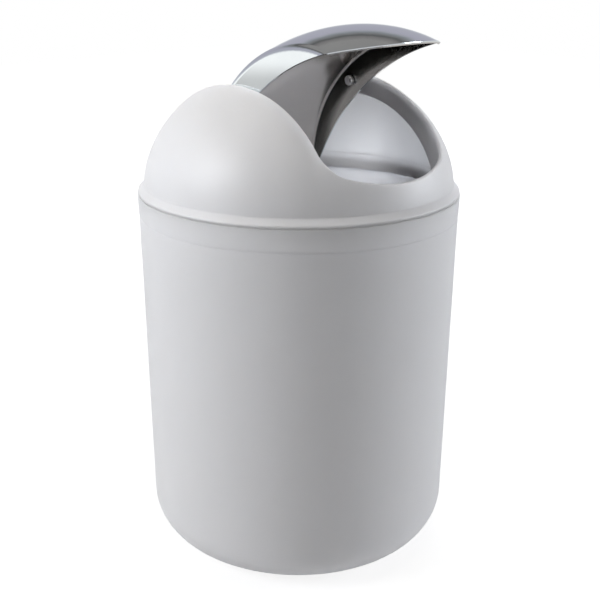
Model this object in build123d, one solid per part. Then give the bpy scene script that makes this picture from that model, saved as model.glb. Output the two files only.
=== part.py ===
from build123d import *
import os

# Countertop bin: tapered body, domed lid cut right across by an opening, and a flap that swings in it.
# Millimetres. Origin at the centre of the base, on the surface it stands on. +Z up, -Y to the front,
# X along the hinge of the flap.

os.makedirs("parts", exist_ok=True)

# body
body_height = 163.0
body_top_radius = 70.05
body_base_radius = 67.4
body_wall = 1.6
base_corner_radius = 21.7
base_thickness = 2.4
foot_ring_radius = 42.0
foot_ring_width = 3.0
base_recess = 0.8
band_height = 8.6
band_bulge = 0.22
band_ledge = 0.1
groove_width = 1.2
groove_depth = 0.15
rim_rounding = 0.4

# lid
dome_inset = 2.45
dome_rise = 54.6
dome_centre_above_body = 0.3
lid_wall = 1.5
flange_inset = 0.1
flange_edge = 1.2
flange_neck_inset = 0.4
flange_height = 4.0
flange_rounding = 0.9
flange_blend = 2.0
spigot_clearance = 0.35
spigot_wall = 1.6
spigot_depth = 4.0
spigot_bore_height = 3.2

# opening across the lid, as seen from the front
opening_half_width = 33.2
lip_above_body = 13.7
lip_curve_radius = 93.0
opening_corner_radius = 10.0
opening_rounding = 0.5
cheek_wall = 1.6
cheek_wall_depth = 8.2

# hinge
pivot_below_top = 10.7
pin_radius = 1.5
pin_running_clearance = 0.05
pin_head_radius = 2.2
pin_head_length = 1.7
pin_head_rounding = 0.5
pin_end_gap = 0.8
boss_radius = 3.4
boss_length = 2.0
spacer_gap = 0.4
head_gap = 0.4

# flap: its skin is a little longer and rounder than the dome, so that it stands proud when closed
flap_open_angle = 42.3
flap_shorter = 1.2
flap_rounder = 4.2
flap_higher = 4.3
flap_centre_below_dome = 1.9
flap_wall = 1.4
flap_side_gap = 1.0
flap_side_rounding = 3.2
flap_edge_rounding = 0.4
flap_lip_gap = 5.3
flap_lip_curve_radius = 88.0
flap_edge_below_pivot = 6.3

# helpers of the modelling
skirt = 20.0
far = 100.0
edge_reach = 0.1
edge_drop = 1.0
on_surface = 0.001

# sizes and places worked out from the ones above
dome_radius = body_top_radius - dome_inset
dome_z = body_height + dome_centre_above_body
pivot_z = dome_z + dome_rise - pivot_below_top
lip_z = body_height + lip_above_body
flap_length_radius = dome_radius - flap_shorter
flap_width_radius = dome_radius + flap_rounder
flap_rise = dome_rise + flap_higher
flap_z = dome_z - flap_centre_below_dome
body_slope = (body_top_radius - body_base_radius) / body_height


def cone_radius(z):
    return body_base_radius + body_slope * z


def section(*points):
    """Face in the XZ plane, from the corners of a half section of something round."""
    return make_face(Plane.XZ * Polyline(*points, close=True))


def corner_at(face, x, z):
    return face.vertices().sort_by_distance((x, 0, z))[0]


def ring(inner, outer, low, high):
    height = high - low
    tube = Cylinder(outer, height) - Cylinder(inner, height)
    return Pos(0, 0, low + height / 2) * tube


def dome(shrink):
    """Solid half ellipsoid of revolution on a short straight skirt, smaller by shrink all over."""
    side = dome_radius - shrink
    rise = dome_rise - shrink
    low = dome_z - skirt
    egg = EllipticalCenterArc((0, dome_z), side, rise, start_angle=0, arc_size=90)
    rest = Polyline((0, dome_z + rise), (0, low), (side, low), (side, dome_z))
    return revolve(make_face(Plane.XZ * (Curve() + [egg, rest])), Axis.Z)


def u_prism(half, lip, corner):
    """Bar along Y with a U-shaped underside: the shape of the opening seen from the front."""
    curve_z = lip + lip_curve_radius
    reach = lip_curve_radius - corner
    across = half - corner
    corner_z = curve_z - (reach**2 - across**2) ** 0.5
    touch_x = across * lip_curve_radius / reach
    touch_z = curve_z + (corner_z - curve_z) * lip_curve_radius / reach
    high = lip + far
    slant = 0.5 ** 0.5 * corner
    corner_mid = (across + slant, corner_z - slant)
    under = ThreePointArc((-touch_x, touch_z), (0, lip), (touch_x, touch_z))
    right = ThreePointArc((touch_x, touch_z), corner_mid, (half, corner_z))
    left = ThreePointArc((-half, corner_z), (-corner_mid[0], corner_mid[1]), (-touch_x, touch_z))
    top = Polyline((half, corner_z), (half, high), (-half, high), (-half, corner_z))
    return extrude(make_face(Plane.XZ * (Curve() + [under, right, left, top])), far, both=True)


def along_x(radius, start, end):
    """Round bar along X on the hinge line, from start to end."""
    bar = Cylinder(radius, end - start)
    return Pos((start + end) / 2, 0, pivot_z) * Rot(0, 90, 0) * bar


def mirror_to(side, piece):
    return piece if side > 0 else piece.mirror(Plane.YZ)


def on_dome(edge):
    """True for an edge that lies on the outside of the dome, around the opening."""
    point = edge @ 0.5
    around = (point.X**2 + point.Y**2) / dome_radius**2
    up = (point.Z - dome_z) ** 2 / dome_rise**2
    within = abs(edge.center().X) < opening_half_width + edge_reach
    above = edge.center().Z > lip_z - edge_drop
    return within and above and abs(around + up - 1) < on_surface


def at_lip(edge):
    """True for an edge along one of the flap's two lips, whose middle is its lowest point."""
    return abs((edge @ 0.5).Z - flap_lip_z) < on_surface


def from_the_middle(edge):
    return abs((edge @ 0.5).Y)


def loaf(shrink, half):
    """Solid with the outline of the flap's skin, between two flat sides with rounded edges."""
    ball = Rot(0, 90, 0) * Sphere(1)
    size = (flap_width_radius - shrink, flap_length_radius - shrink, flap_rise - shrink)
    bulk = Pos(0, 0, flap_z) * scale(ball, by=size) & Pos(0, 0, flap_z) * Box(2 * half, 2 * far, 2 * far)
    side_edges = bulk.edges().filter_by(lambda edge: abs(edge.center().X) > half - edge_reach)
    return fillet(side_edges, flap_side_rounding - shrink)


# body: a tapered bucket with a rounded bottom corner and a slightly thicker band at its rim
shape = section((0, 0), (body_base_radius, 0), (body_top_radius, body_height), (0, body_height))
shape = fillet(corner_at(shape, body_base_radius, 0), base_corner_radius)
bucket = revolve(shape, Axis.Z)

band_low = body_height - band_height
band_radius = body_top_radius + band_bulge
band_core = body_top_radius - 2 * body_wall
band = section(
    (band_core, band_low),
    (cone_radius(band_low) + band_ledge, band_low),
    (band_radius, body_height - 2 * rim_rounding),
    (band_radius, body_height),
    (band_core, body_height),
)
bucket += revolve(band, Axis.Z)
groove_low = band_low - groove_width
bucket -= ring(cone_radius(groove_low) - groove_depth, band_radius, groove_low, band_low)
rim_edge = bucket.edges().group_by(Axis.Z)[-1]
bucket = fillet(rim_edge, rim_rounding)

inner_base = cone_radius(base_thickness) - body_wall
inner_top = body_top_radius - body_wall
hollow = section(
    (0, base_thickness),
    (inner_base, base_thickness),
    (inner_top, body_height),
    (0, body_height),
)
hollow = fillet(corner_at(hollow, inner_base, base_thickness), base_corner_radius - body_wall)
bin_body = bucket - revolve(hollow, Axis.Z)
bin_body -= Pos(0, 0, base_recess / 2) * Cylinder(foot_ring_radius - foot_ring_width, base_recess)

# lid: a thin dome on a flange, with a short ring that drops inside the bin's mouth
mouth_radius = body_top_radius - body_wall
spigot_radius = mouth_radius - spigot_clearance - body_slope * spigot_depth
spigot_bore = spigot_radius - spigot_wall
flange_radius = body_top_radius - flange_inset
flange_neck_radius = dome_radius - flange_neck_inset
flange_top = body_height + flange_height
flange_root = flange_top + flange_blend
flange_corner = (flange_radius, body_height + flange_edge)
flange_neck = (flange_neck_radius, flange_top)
flange = section(
    (spigot_bore, body_height),
    (flange_radius, body_height),
    flange_corner,
    flange_neck,
    (flange_neck_radius, flange_root),
    (spigot_bore, flange_root),
)
flange = fillet(corner_at(flange, *flange_corner), flange_rounding)
flange = fillet(corner_at(flange, *flange_neck), flange_blend)
lid = dome(0) - Pos(0, 0, body_height - far / 2) * Box(2 * far, 2 * far, far)
lid += revolve(flange, Axis.Z)
lid += ring(spigot_bore, spigot_radius, body_height - spigot_depth, body_height)
lid -= dome(lid_wall)
lid -= Pos(0, 0, body_height) * Cylinder(spigot_bore, 2 * spigot_bore_height)

# the opening, and the flat walls inside its cheeks
span = 2 * (opening_half_width + cheek_wall)
cheeks = dome(lid_wall / 2) - dome(cheek_wall_depth)
cheeks &= Pos(0, 0, body_height + spigot_bore_height + far / 2) * Box(span, 2 * far, far)
cheeks -= Box(2 * opening_half_width, 2 * far, 6 * far)
lid += cheeks
lid -= u_prism(opening_half_width, lip_z, opening_corner_radius)
opening_edges = lid.edges().filter_by(on_dome)
lid = fillet(opening_edges, opening_rounding)

# flap: a hollow loaf, modelled level, closing the opening, then swung open
flap_half = opening_half_width - flap_side_gap
flap_lip_z = lip_z + flap_lip_gap
shell = loaf(0, flap_half) - loaf(flap_wall, flap_half - flap_wall)

# its lips, front and back, sag to the middle
lip_bend = (flap_lip_curve_radius**2 - flap_half**2) ** 0.5
corner_z = flap_lip_z + flap_lip_curve_radius - lip_bend
lip_arc = ThreePointArc((-flap_half, corner_z), (0, flap_lip_z), (flap_half, corner_z))
low = flap_z - far
below = Polyline((flap_half, corner_z), (flap_half, low), (-flap_half, low), (-flap_half, corner_z))
shell -= extrude(make_face(Plane.XZ * (Curve() + [lip_arc, below])), far, both=True)

# its side walls end in an arch that springs from the corners of the lips
across = (flap_half / flap_width_radius) ** 2
up = ((corner_z - flap_z) / flap_rise) ** 2
corner_y = flap_length_radius * (1 - across - up) ** 0.5
arch_z = pivot_z - flap_edge_below_pivot
arch = ThreePointArc((-corner_y, corner_z), (0, arch_z), (corner_y, corner_z))
under = Polyline((corner_y, corner_z), (corner_y, low), (-corner_y, low), (-corner_y, corner_z))
shell -= extrude(make_face(Plane.YZ * (Curve() + [arch, under])), far, both=True)
lip_edges = shell.edges().filter_by(at_lip).sort_by(from_the_middle)
outer_lips = lip_edges[-2:]
shell = fillet(outer_lips, flap_edge_rounding)
shell -= along_x(pin_radius + pin_running_clearance, -far, far)
hinge_line = Axis((0, 0, pivot_z), (1, 0, 0))
swing_flap = shell.rotate(hinge_line, -flap_open_angle)

# pivots: a boss on each cheek wall and a headed pin pressed into it from inside the flap
boss_start = flap_half + spacer_gap
boss_end = opening_half_width + cheek_wall + boss_length
pin_start = flap_half - flap_wall - head_gap
pin_end = boss_end - pin_end_gap
for side in (-1, 1):
    boss = along_x(boss_radius, boss_start, boss_end) & dome(lid_wall / 2)
    lid += mirror_to(side, boss)
    lid -= mirror_to(side, along_x(pin_radius, boss_start - spacer_gap, pin_end))
head = along_x(pin_head_radius, pin_start - pin_head_length, pin_start)
head = fillet(head.edges().filter_by(GeomType.CIRCLE).sort_by(Axis.X)[0], pin_head_rounding)
right_pin = head + along_x(pin_radius, pin_start, pin_end)
left_pin = mirror_to(-1, right_pin)

pieces = {
    "bin_body": bin_body,
    "dome_lid": lid,
    "swing_flap": swing_flap,
    "left_pivot_pin": left_pin,
    "right_pivot_pin": right_pin,
}
for name, piece in pieces.items():
    export_step(piece, "parts/" + name + ".step")
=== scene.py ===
import math
import bpy
from mathutils import Matrix, Vector

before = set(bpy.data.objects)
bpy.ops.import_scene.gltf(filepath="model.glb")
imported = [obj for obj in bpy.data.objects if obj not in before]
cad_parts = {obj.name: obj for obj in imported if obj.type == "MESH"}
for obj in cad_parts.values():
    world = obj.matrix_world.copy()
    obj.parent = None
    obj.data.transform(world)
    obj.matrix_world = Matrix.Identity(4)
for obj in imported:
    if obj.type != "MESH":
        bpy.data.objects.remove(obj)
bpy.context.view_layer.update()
print("frame loaded:", ", ".join(sorted(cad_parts)))


def newMaterial(name):
    mat = bpy.data.materials.new(name)
    mat.use_nodes = True
    nodes = mat.node_tree.nodes
    return mat, nodes, mat.node_tree.links, nodes["Principled BSDF"]


def addNode(nodes, kind, x, y, **inputs):
    node = nodes.new(kind)
    node.location = (x, y)
    for key, value in inputs.items():
        node.inputs[key.replace("_", " ")].default_value = value
    return node


def setMaterial(nodeName, mat):
    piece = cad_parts[nodeName]
    piece.data.materials.clear()
    piece.data.materials.append(mat)


# white moulded plastic of the bin and its lid
plasticSettings = {
    "colour": (0.879, 0.873, 0.904, 1),
    "shade": (0.855, 0.850, 0.883, 1),
    "roughLow": 0.40,
    "roughHigh": 0.50,
    "grainScale": 2600.0,
    "grainDetail": 2.0,
    "grainDepth": 0.00001,
    "grainStrength": 0.35,
    "flowScale": 18.0,
    "flowDetail": 4.0,
    "flowRough": 0.55,
    "flowStretch": 0.35,           # flow marks run up the wall
    "flowBand": (0.35, 0.65),
    "lidTurn": 0.7,                # so that the marks of lid and body don't line up
    "glow": 1.0,                   # how much light soaks into the thin wall
    "glowTint": (0.96, 0.98, 1.0), # how far red, green and blue go in it, in shares of the depth
    "glowDepth": 0.005,
    "innerGlowDepth": 0.006,       # on the lid's inner faces
    "domeRadius": 0.0676,
    "domeRise": 0.0546,
    "domeCentre": 0.1633,
    "outerFace": (0.986, 0.994),   # where the outer face starts, in shares of the dome's radii
}


def smoothStep(nodes, links, value, start, end, x, y):
    step = addNode(nodes, "ShaderNodeMapRange", x, y)
    step.interpolation_type = "SMOOTHSTEP"
    step.inputs["From Min"].default_value = start
    step.inputs["From Max"].default_value = end
    links.new(value, step.inputs["Value"])
    return step.outputs["Result"]


def combine(nodes, links, operation, first, second, x, y):
    node = addNode(nodes, "ShaderNodeMath", x, y)
    node.operation = operation
    links.new(first, node.inputs[0])
    links.new(second, node.inputs[1])
    return node.outputs["Value"]


def distanceFrom(nodes, links, vector, x, y):
    node = addNode(nodes, "ShaderNodeVectorMath", x, y)
    node.operation = "LENGTH"
    links.new(vector, node.inputs[0])
    return node.outputs["Value"]


def colourRamp(nodes, stops, x, y):
    ramp = addNode(nodes, "ShaderNodeValToRGB", x, y)
    while len(ramp.color_ramp.elements) < len(stops):
        ramp.color_ramp.elements.new(1.0)
    for element, (position, colour) in zip(ramp.color_ramp.elements, stops):
        element.position = position
        element.color = colour
    return ramp


def roughnessRange(nodes, links, pattern, s, x, y):
    rough = addNode(nodes, "ShaderNodeMapRange", x, y)
    rough.inputs["To Min"].default_value = s["roughLow"]
    rough.inputs["To Max"].default_value = s["roughHigh"]
    links.new(pattern, rough.inputs["Value"])
    return rough.outputs["Result"]


def addBump(nodes, links, pattern, shader, strength, depth):
    bump = addNode(nodes, "ShaderNodeBump", -350, -300, Strength=strength, Distance=depth)
    links.new(pattern, bump.inputs["Height"])
    links.new(bump.outputs["Normal"], shader.inputs["Normal"])


def glowByFace(nodes, links, position, s):
    # measured in shares of the dome's radii; below its centre only the distance from the axis counts
    share = addNode(nodes, "ShaderNodeMapping", -1100, -500)
    share.inputs["Scale"].default_value = (1 / s["domeRadius"], 1 / s["domeRadius"], 1 / s["domeRise"])
    share.inputs["Location"].default_value = (0, 0, -s["domeCentre"] / s["domeRise"])
    links.new(position, share.inputs["Vector"])
    raised = addNode(nodes, "ShaderNodeVectorMath", -900, -500)
    raised.operation = "MAXIMUM"
    raised.inputs[1].default_value = (-10, -10, 0)    # leaves x and y as they are
    links.new(share.outputs["Vector"], raised.inputs[0])
    radius = distanceFrom(nodes, links, raised.outputs["Vector"], -700, -500)
    start, end = s["outerFace"]
    depth = smoothStep(nodes, links, radius, start, end, -500, -500)
    depth.node.inputs["To Min"].default_value = s["innerGlowDepth"]
    depth.node.inputs["To Max"].default_value = s["glowDepth"]
    return depth


def makePlastic(name, s, turn=0.0, withDome=False):
    mat, nodes, links, shader = newMaterial(name)
    place = addNode(nodes, "ShaderNodeTexCoord", -1300, 0)
    stretch = addNode(nodes, "ShaderNodeMapping", -1100, 0)
    stretch.inputs["Rotation"].default_value = (0, 0, turn)
    stretch.inputs["Scale"].default_value = (1, 1, s["flowStretch"])
    links.new(place.outputs["Object"], stretch.inputs["Vector"])
    flow = addNode(nodes, "ShaderNodeTexNoise", -850, 200,
                   Scale=s["flowScale"], Detail=s["flowDetail"], Roughness=s["flowRough"])
    links.new(stretch.outputs["Vector"], flow.inputs["Vector"])
    low, high = s["flowBand"]
    tint = colourRamp(nodes, ((low, s["shade"]), (high, s["colour"])), -600, 250)
    links.new(flow.outputs["Fac"], tint.inputs["Fac"])
    links.new(tint.outputs["Color"], shader.inputs["Base Color"])
    # fine spark-eroded grain of the mould
    grain = addNode(nodes, "ShaderNodeTexNoise", -850, -200, Scale=s["grainScale"], Detail=s["grainDetail"])
    links.new(place.outputs["Object"], grain.inputs["Vector"])
    rough = roughnessRange(nodes, links, grain.outputs["Fac"], s, -600, -50)
    links.new(rough, shader.inputs["Roughness"])
    addBump(nodes, links, grain.outputs["Fac"], shader, s["grainStrength"], s["grainDepth"])
    shader.inputs["Subsurface Weight"].default_value = s["glow"]
    shader.inputs["Subsurface Scale"].default_value = s["glowDepth"]
    shader.inputs["Subsurface Radius"].default_value = s["glowTint"]
    if withDome:
        links.new(glowByFace(nodes, links, place.outputs["Object"], s), shader.inputs["Subsurface Scale"])
    return mat


bodyPlastic = makePlastic("whitePlasticBody", plasticSettings)
lidPlastic = makePlastic("whitePlasticLid", plasticSettings, turn=plasticSettings["lidTurn"], withDome=True)
setMaterial("bin_body", bodyPlastic)
setMaterial("dome_lid", lidPlastic)
print("plastic done")


# chrome plating of the flap
chromeSettings = {
    "colour": (0.90, 0.94, 0.95, 1),
    "cloud": (0.84, 0.88, 0.90, 1),
    "roughLow": 0.03,
    "roughHigh": 0.07,
    "smudgeScale": 35.0,
    "smudgeDetail": 5.0,
    "smudgeRough": 0.6,
    "smudgeBand": (0.3, 0.6),
    "waveScale": 14.0,
    "waveDetail": 1.0,
    "waveRough": 0.4,
    "waveDepth": 0.00012,
    "waveStrength": 0.15,
    # painted shade: the plating is darkened in the hollow of the flap, most of all inside its cheeks
    "hollow": (0.75, 0.715, 0.68, 1),
    "cheek": (                          # painted shade, from deep in the hollow out to the skin, darkest beside it, in shares of its radii
        (0.84, (0.52, 0.51, 0.49, 1)),
        (0.87, (0.28, 0.28, 0.27, 1)),
        (0.90, (0.13, 0.13, 0.125, 1)),
        (1.00, (0.06, 0.06, 0.06, 1)),
    ),
    "hollowRough": 0.13,
    "cheekInside": (0.0303, 0.0307),    # distance from the middle to each cheek's inner face
    "cheekOutside": (0.0312, 0.0318),   # and to its outer face
    "skinInside": (0.985, 0.992),       # shares of the skin's own radii
    "skinRadii": (0.0718, 0.0664, 0.0589),
    "skinCentre": 0.1614,
    "pivot": 0.2072,
    "openAngle": math.radians(42.3),
}


def blendColours(nodes, links, amount, low, high, x, y):
    blend = addNode(nodes, "ShaderNodeMix", x, y)
    blend.data_type = "RGBA"
    links.new(amount, blend.inputs["Factor"])
    for socket, colour in (("A_Color", low), ("B_Color", high)):
        target = next(item for item in blend.inputs if item.identifier == socket)
        if isinstance(colour, tuple):
            target.default_value = colour
        else:
            links.new(colour, target)
    return next(item for item in blend.outputs if item.identifier == "Result_Color")


def blendValues(nodes, links, amount, low, high, x, y):
    blend = addNode(nodes, "ShaderNodeMix", x, y)
    links.new(amount, blend.inputs["Factor"])
    blend.inputs["A"].default_value = low
    links.new(high, blend.inputs["B"])
    return blend.outputs["Result"]


def hollowTint(nodes, links, position, outside, s):
    # turn the flap shut, then measure in shares of its skin's radii: 1 is the outer face
    turn = Matrix.Rotation(s["openAngle"], 3, "X")
    shut = addNode(nodes, "ShaderNodeMapping", -1700, 600)
    shut.inputs["Rotation"].default_value = (s["openAngle"], 0, 0)
    fromPivot = turn @ Vector((0, 0, -s["pivot"]))
    shut.inputs["Location"].default_value = fromPivot + Vector((0, 0, s["pivot"] - s["skinCentre"]))
    links.new(position, shut.inputs["Vector"])
    share = addNode(nodes, "ShaderNodeMapping", -1500, 600)
    share.inputs["Scale"].default_value = [1 / radius for radius in s["skinRadii"]]
    links.new(shut.outputs["Vector"], share.inputs["Vector"])
    depth = distanceFrom(nodes, links, share.outputs["Vector"], -1300, 600)
    split = addNode(nodes, "ShaderNodeSeparateXYZ", -1700, 900)
    links.new(position, split.inputs["Vector"])
    sideways = addNode(nodes, "ShaderNodeMath", -1500, 900)
    sideways.operation = "ABSOLUTE"
    links.new(split.outputs["X"], sideways.inputs[0])
    sideways = sideways.outputs["Value"]
    cheekColour = colourRamp(nodes, s["cheek"], -1100, 600)
    links.new(depth, cheekColour.inputs["Fac"])
    start, end = s["cheekInside"]
    nearCheek = smoothStep(nodes, links, sideways, start, end, -1300, 900)
    # painted shade: the hollow's shade, turning to the darker cheek shade near each cheek
    inside = blendColours(nodes, links, nearCheek, s["hollow"], cheekColour.outputs["Color"], -800, 600)
    start, end = s["cheekOutside"]
    pastCheek = smoothStep(nodes, links, sideways, start, end, -1300, 1100)
    start, end = s["skinInside"]
    pastSkin = smoothStep(nodes, links, depth, start, end, -1100, 1100)
    outer = combine(nodes, links, "MAXIMUM", pastCheek, pastSkin, -900, 1000)
    # the painted shade stays off the outer faces of skin and cheeks
    return blendColours(nodes, links, outer, inside, outside, -600, 600), outer


def makeChrome(name, s, withHollowShade=False):
    mat, nodes, links, shader = newMaterial(name)
    place = addNode(nodes, "ShaderNodeTexCoord", -1300, 0)
    smudge = addNode(nodes, "ShaderNodeTexNoise", -900, 200,
                     Scale=s["smudgeScale"], Detail=s["smudgeDetail"], Roughness=s["smudgeRough"])
    links.new(place.outputs["Object"], smudge.inputs["Vector"])
    low, high = s["smudgeBand"]
    tint = colourRamp(nodes, ((low, s["cloud"]), (high, s["colour"])), -600, 300)
    links.new(smudge.outputs["Fac"], tint.inputs["Fac"])
    surface = tint.outputs["Color"]
    # painted shade in the flap's hollow and inside its cheeks
    if withHollowShade:
        surface, outer = hollowTint(nodes, links, place.outputs["Object"], surface, s)
    links.new(surface, shader.inputs["Base Color"])
    rough = roughnessRange(nodes, links, smudge.outputs["Fac"], s, -600, 0)
    if withHollowShade:
        rough = blendValues(nodes, links, outer, s["hollowRough"], rough, -400, 0)
    links.new(rough, shader.inputs["Roughness"])
    # plating over moulded plastic is never dead flat
    wave = addNode(nodes, "ShaderNodeTexNoise", -900, -300,
                   Scale=s["waveScale"], Detail=s["waveDetail"], Roughness=s["waveRough"])
    links.new(place.outputs["Object"], wave.inputs["Vector"])
    addBump(nodes, links, wave.outputs["Fac"], shader, s["waveStrength"], s["waveDepth"])
    shader.inputs["Metallic"].default_value = 1.0
    return mat


setMaterial("swing_flap", makeChrome("chromePlating", chromeSettings, withHollowShade=True))
# plain steel of the pins: the plating's pattern, greyer and duller
pinSettings = dict(
    chromeSettings,
    colour=(0.74, 0.74, 0.75, 1),
    cloud=(0.6, 0.6, 0.62, 1),
    roughLow=0.2,
    roughHigh=0.35,
)
pinSteel = makeChrome("pinSteel", pinSettings)
setMaterial("left_pivot_pin", pinSteel)
setMaterial("right_pivot_pin", pinSteel)
print("chrome done")


# camera in front of the bin, to the left and a little above
cameraSettings = {
    "place": (-0.3134, -0.3542, 0.2737),
    "aim": (0, 0, 0.1108),
    "roll": math.radians(0.22),
    "lens": 65.93,
    "sensor": 36,
    "shiftX": 1.6 / 600,
    "nearest": 0.01,
}

scene = bpy.context.scene
scene.view_settings.view_transform = "Standard"

place = Vector(cameraSettings["place"])
towards = (Vector(cameraSettings["aim"]) - place).normalized()
right = towards.cross(Vector((0, 0, 1))).normalized()
up = right.cross(towards)
roll = cameraSettings["roll"]
sideAxis = right * math.cos(roll) + up * math.sin(roll)
upAxis = up * math.cos(roll) - right * math.sin(roll)
turned = Matrix((sideAxis, upAxis, -towards)).transposed().to_4x4()
turned.translation = place
camData = bpy.data.cameras.new("studioCamera")
camData.sensor_width = cameraSettings["sensor"]
camData.lens = cameraSettings["lens"]
camData.shift_x = cameraSettings["shiftX"]
camData.clip_start = cameraSettings["nearest"]
cam = bpy.data.objects.new("studioCamera", camData)
scene.collection.objects.link(cam)
cam.matrix_world = turned
scene.camera = cam
print("camera done")

# floor: white to the camera but for the shadow, pale paper to the light
floorSettings = {
    "size": 3.4,
    "bounce": (0.8, 0.8, 0.8, 1),
    "rough": 0.9,
    "cameraWhite": (0.86, 1.0),           # the floor's own white to the camera, beside the bin and further off
    "cameraReach": (0.16, 0.40),
    "cameraPaper": (0.22, 0.22, 0.22, 1), # how much of the light and shadow shows on it
    "mirrored": (0.58, 1.0),              # what the plating sees beside the bin and where the backdrop rises
    "mirroredReach": (1.6, 1.85),
}


def whiteByDistance(nodes, links, fromCentre, whites, reach):
    white = nodes.new("ShaderNodeMapRange")
    for socket, value in zip(("From Min", "From Max", "To Min", "To Max"), reach + whites):
        white.inputs[socket].default_value = value
    links.new(fromCentre, white.inputs["Value"])
    shine = nodes.new("ShaderNodeEmission")
    links.new(white.outputs["Result"], shine.inputs["Strength"])
    return shine.outputs["Emission"]


def mixByRay(nodes, links, ray, other, seen):
    mix = nodes.new("ShaderNodeMixShader")
    links.new(ray, mix.inputs["Fac"])
    links.new(other, mix.inputs[1])
    links.new(seen, mix.inputs[2])
    return mix.outputs["Shader"]


def mirrorRay(nodes, links, path):
    # rays that a metal or a glass sends on
    either = nodes.new("ShaderNodeMath")
    either.operation = "MAXIMUM"
    links.new(path.outputs["Is Glossy Ray"], either.inputs[0])
    links.new(path.outputs["Is Transmission Ray"], either.inputs[1])
    return either.outputs["Value"]


bpy.ops.object.select_all(action="DESELECT")
bpy.ops.mesh.primitive_plane_add(size=floorSettings["size"], location=(0, 0, 0))
floor = bpy.context.object
floor.name = "studioFloor"
floorMat, nodes, links, paper = newMaterial("paperFloor")
paper.inputs["Base Color"].default_value = floorSettings["bounce"]
paper.inputs["Roughness"].default_value = floorSettings["rough"]
path = nodes.new("ShaderNodeLightPath")
faint = nodes.new("ShaderNodeBsdfDiffuse")
faint.inputs["Color"].default_value = floorSettings["cameraPaper"]
both = nodes.new("ShaderNodeAddShader")
floorPlace = nodes.new("ShaderNodeTexCoord")
fromCentre = distanceFrom(nodes, links, floorPlace.outputs["Object"], -800, 0)
seen = whiteByDistance(nodes, links, fromCentre, floorSettings["cameraWhite"], floorSettings["cameraReach"])
mirrored = whiteByDistance(nodes, links, fromCentre, floorSettings["mirrored"], floorSettings["mirroredReach"])
links.new(seen, both.inputs[0])
links.new(faint.outputs["BSDF"], both.inputs[1])
mirror = mirrorRay(nodes, links, path)
reflected = mixByRay(nodes, links, mirror, paper.outputs["BSDF"], mirrored)
shown = mixByRay(nodes, links, path.outputs["Is Camera Ray"], reflected, both.outputs["Shader"])
links.new(shown, nodes["Material Output"].inputs["Surface"])
floor.data.materials.append(floorMat)
print("floor done")

# room: white backdrop at eye level that greys towards the ceiling, as the plating shows it
roomSettings = {
    "ambient": 0.02,
    "bands": (                    # sine of the height above the horizon, colour
        (0.00, (1.00, 1.00, 1.00, 1)),
        (0.10, (0.52, 0.53, 0.58, 1)),
        (0.17, (0.42, 0.42, 0.48, 1)),
        (0.42, (0.40, 0.39, 0.46, 1)),
        (0.47, (0.35, 0.35, 0.39, 1)),
        (0.51, (0.25, 0.26, 0.28, 1)),
        (0.56, (0.19, 0.19, 0.195, 1)),
        (0.60, (0.11, 0.11, 0.11, 1)),
        (0.64, (0.19, 0.18, 0.18, 1)),
        (0.71, (0.26, 0.25, 0.245, 1)),
        (1.00, (0.24, 0.235, 0.23, 1)),
    ),
}

world = bpy.data.worlds.new("studioRoom")
scene.world = world
world.use_nodes = True
nodes = world.node_tree.nodes
links = world.node_tree.links
ambient = nodes["Background"]
ambient.inputs["Color"].default_value = (1, 1, 1, 1)
ambient.inputs["Strength"].default_value = roomSettings["ambient"]
direction = nodes.new("ShaderNodeTexCoord")
split = nodes.new("ShaderNodeSeparateXYZ")
links.new(direction.outputs["Generated"], split.inputs["Vector"])
bands = colourRamp(nodes, roomSettings["bands"], -600, 300)
links.new(split.outputs["Z"], bands.inputs["Fac"])
backdrop = nodes.new("ShaderNodeBackground")
links.new(bands.outputs["Color"], backdrop.inputs["Color"])
white = nodes.new("ShaderNodeBackground")
white.inputs["Color"].default_value = (1, 1, 1, 1)
path = nodes.new("ShaderNodeLightPath")
mirror = mirrorRay(nodes, links, path)
reflected = mixByRay(nodes, links, mirror, ambient.outputs["Background"], backdrop.outputs["Background"])
shown = mixByRay(nodes, links, path.outputs["Is Camera Ray"], reflected, white.outputs["Background"])
links.new(shown, nodes["World Output"].inputs["Surface"])
print("room done")

# softboxes in a ring round the bin
lampSettings = {
    "distance": 1.1,
    "centre": (0, 0, 0.11),
    "lamps": {       # angle from the camera, plus to its right; height angle; width; watts; tone
        "leftSoftbox": (-71, 30, 0.45, 8.4, "daylight"),
        "topSoftbox": (0, 90, 0.6, 4.9, "warm"),
        "rightSoftbox": (94, 14, 0.45, 6.0, "cool"),
        "backLeftSoftbox": (-160, 10, 0.45, 1.4, "cool"),
        "backRightSoftbox": (164, 10, 0.45, 2.6, "cool"),
        "backHighSoftbox": (172, 45, 0.45, 2.8, "cool"),
    },
    "daylight": (0.95, 0.97, 1.0),
    "cool": (0.91, 0.945, 1.0),
    "warm": (1.0, 0.95, 0.87),
    "unseenInPlating": ("topSoftbox", "backHighSoftbox", "backLeftSoftbox", "backRightSoftbox"),
}

sideways = Vector((right.x, right.y, 0)).normalized()
forwards = Vector((towards.x, towards.y, 0)).normalized()
centre = Vector(lampSettings["centre"])
for name, (turn, lift, width, watts, tone) in lampSettings["lamps"].items():
    turn = math.radians(turn)
    lift = math.radians(lift)
    level = sideways * math.sin(turn) - forwards * math.cos(turn)
    aside = (level * math.cos(lift) + Vector((0, 0, math.sin(lift)))) * lampSettings["distance"]
    data = bpy.data.lights.new(name, "AREA")
    data.size = width
    data.energy = watts
    data.color = lampSettings[tone]
    lamp = bpy.data.objects.new(name, data)
    scene.collection.objects.link(lamp)
    lamp.location = centre + aside
    lamp.rotation_euler = (-aside).to_track_quat("-Z", "Y").to_euler()
    lamp.visible_camera = False
    lamp.visible_glossy = name not in lampSettings["unseenInPlating"]
print("lamps done:", len(lampSettings["lamps"]))
